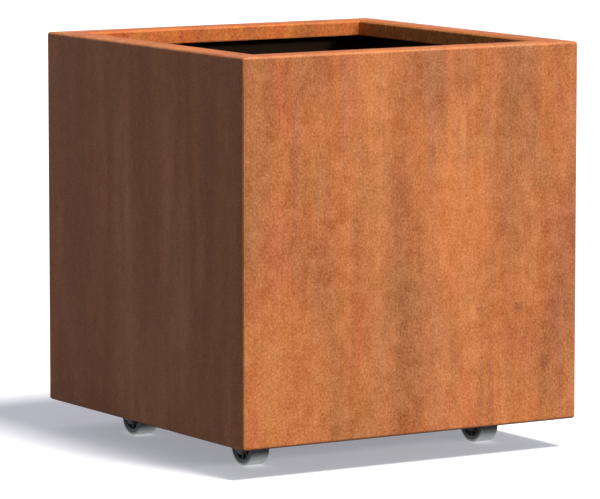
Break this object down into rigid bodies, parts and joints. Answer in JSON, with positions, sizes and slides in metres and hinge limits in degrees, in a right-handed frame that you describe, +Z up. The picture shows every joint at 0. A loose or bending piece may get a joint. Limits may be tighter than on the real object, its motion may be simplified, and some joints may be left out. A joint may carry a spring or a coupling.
{
  "type": "rolling planter",
  "caption": "Square floor planter of folded weathering steel with an inward rim, open at the top, rolling on swivel castors.",
  "frame": {"origin": "on the ground under the middle of the floor, level with the lowest point of the tyres", "axes": "+X to the right along the front, +Y to the back, +Z up; the front faces -Y"},
  "size_m": [0.8, 0.8, 0.842],
  "materials": {
    "weathering_steel": "orange-brown rust patina, matt",
    "weathering_steel_inner": "dark brown rust patina, matt",
    "pressed_zinc_steel": "zinc plated pressing",
    "zinc_fasteners": "bright zinc",
    "bearing_steel": "ground",
    "dark_plastic": "moulded, satin",
    "grey_rubber": "smooth non-marking tread"
  },
  "bodies": {
    "planter": {"wall_front": "weathering_steel", "wall_back": "weathering_steel", "wall_left": "weathering_steel", "wall_right": "weathering_steel", "base_tray": "weathering_steel_inner", "floor_rib_left": "weathering_steel_inner", "floor_rib_right": "weathering_steel_inner", "mount_pads": "weathering_steel_inner", "mount_bolts": "zinc_fasteners", "mount_nuts": "zinc_fasteners", "top_plate_front_left": "pressed_zinc_steel", "race_cup_front_left": "pressed_zinc_steel", "kingpin_front_left": "pressed_zinc_steel", "top_plate_front_right": "pressed_zinc_steel", "race_cup_front_right": "pressed_zinc_steel", "kingpin_front_right": "pressed_zinc_steel", "top_plate_back_left": "pressed_zinc_steel", "race_cup_back_left": "pressed_zinc_steel", "kingpin_back_left": "pressed_zinc_steel", "top_plate_back_right": "pressed_zinc_steel", "race_cup_back_right": "pressed_zinc_steel", "kingpin_back_right": "pressed_zinc_steel"},
    "castor_front_left": {"fork_front_left": "pressed_zinc_steel", "swivel_balls_front_left": "bearing_steel", "axle_bolt_front_left": "zinc_fasteners", "axle_nut_front_left": "zinc_fasteners", "axle_sleeve_front_left": "bearing_steel", "thread_guards_front_left": "dark_plastic"},
    "wheel_front_left": {"wheel_core_front_left": "dark_plastic", "tyre_front_left": "grey_rubber", "roller_bearing_front_left": "bearing_steel"},
    "castor_front_right": {"fork_front_right": "pressed_zinc_steel", "swivel_balls_front_right": "bearing_steel", "axle_bolt_front_right": "zinc_fasteners", "axle_nut_front_right": "zinc_fasteners", "axle_sleeve_front_right": "bearing_steel", "thread_guards_front_right": "dark_plastic"},
    "wheel_front_right": {"wheel_core_front_right": "dark_plastic", "tyre_front_right": "grey_rubber", "roller_bearing_front_right": "bearing_steel"},
    "castor_back_left": {"fork_back_left": "pressed_zinc_steel", "swivel_balls_back_left": "bearing_steel", "axle_bolt_back_left": "zinc_fasteners", "axle_nut_back_left": "zinc_fasteners", "axle_sleeve_back_left": "bearing_steel", "thread_guards_back_left": "dark_plastic"},
    "wheel_back_left": {"wheel_core_back_left": "dark_plastic", "tyre_back_left": "grey_rubber", "roller_bearing_back_left": "bearing_steel"},
    "castor_back_right": {"fork_back_right": "pressed_zinc_steel", "swivel_balls_back_right": "bearing_steel", "axle_bolt_back_right": "zinc_fasteners", "axle_nut_back_right": "zinc_fasteners", "axle_sleeve_back_right": "bearing_steel", "thread_guards_back_right": "dark_plastic"},
    "wheel_back_right": {"wheel_core_back_right": "dark_plastic", "tyre_back_right": "grey_rubber", "roller_bearing_back_right": "bearing_steel"}
  },
  "joints": [
    {"name": "swivel_front_left", "type": "hinge", "parent": "planter", "child": "castor_front_left", "pos_m": [-0.278, -0.262, 0.096], "axis": [0, 0, 1], "continuous": true},
    {"name": "roll_front_left", "type": "hinge", "parent": "castor_front_left", "child": "wheel_front_left", "pos_m": [-0.278, -0.224, 0.04], "axis": [1, 0, 0], "continuous": true},
    {"name": "swivel_front_right", "type": "hinge", "parent": "planter", "child": "castor_front_right", "pos_m": [0.278, -0.262, 0.096], "axis": [0, 0, 1], "continuous": true},
    {"name": "roll_front_right", "type": "hinge", "parent": "castor_front_right", "child": "wheel_front_right", "pos_m": [0.278, -0.224, 0.04], "axis": [1, 0, 0], "continuous": true},
    {"name": "swivel_back_left", "type": "hinge", "parent": "planter", "child": "castor_back_left", "pos_m": [-0.278, 0.262, 0.096], "axis": [0, 0, 1], "continuous": true},
    {"name": "roll_back_left", "type": "hinge", "parent": "castor_back_left", "child": "wheel_back_left", "pos_m": [-0.278, 0.224, 0.04], "axis": [1, 0, 0], "continuous": true},
    {"name": "swivel_back_right", "type": "hinge", "parent": "planter", "child": "castor_back_right", "pos_m": [0.278, 0.262, 0.096], "axis": [0, 0, 1], "continuous": true},
    {"name": "roll_back_right", "type": "hinge", "parent": "castor_back_right", "child": "wheel_back_right", "pos_m": [0.278, 0.224, 0.04], "axis": [1, 0, 0], "continuous": true}
  ]
}
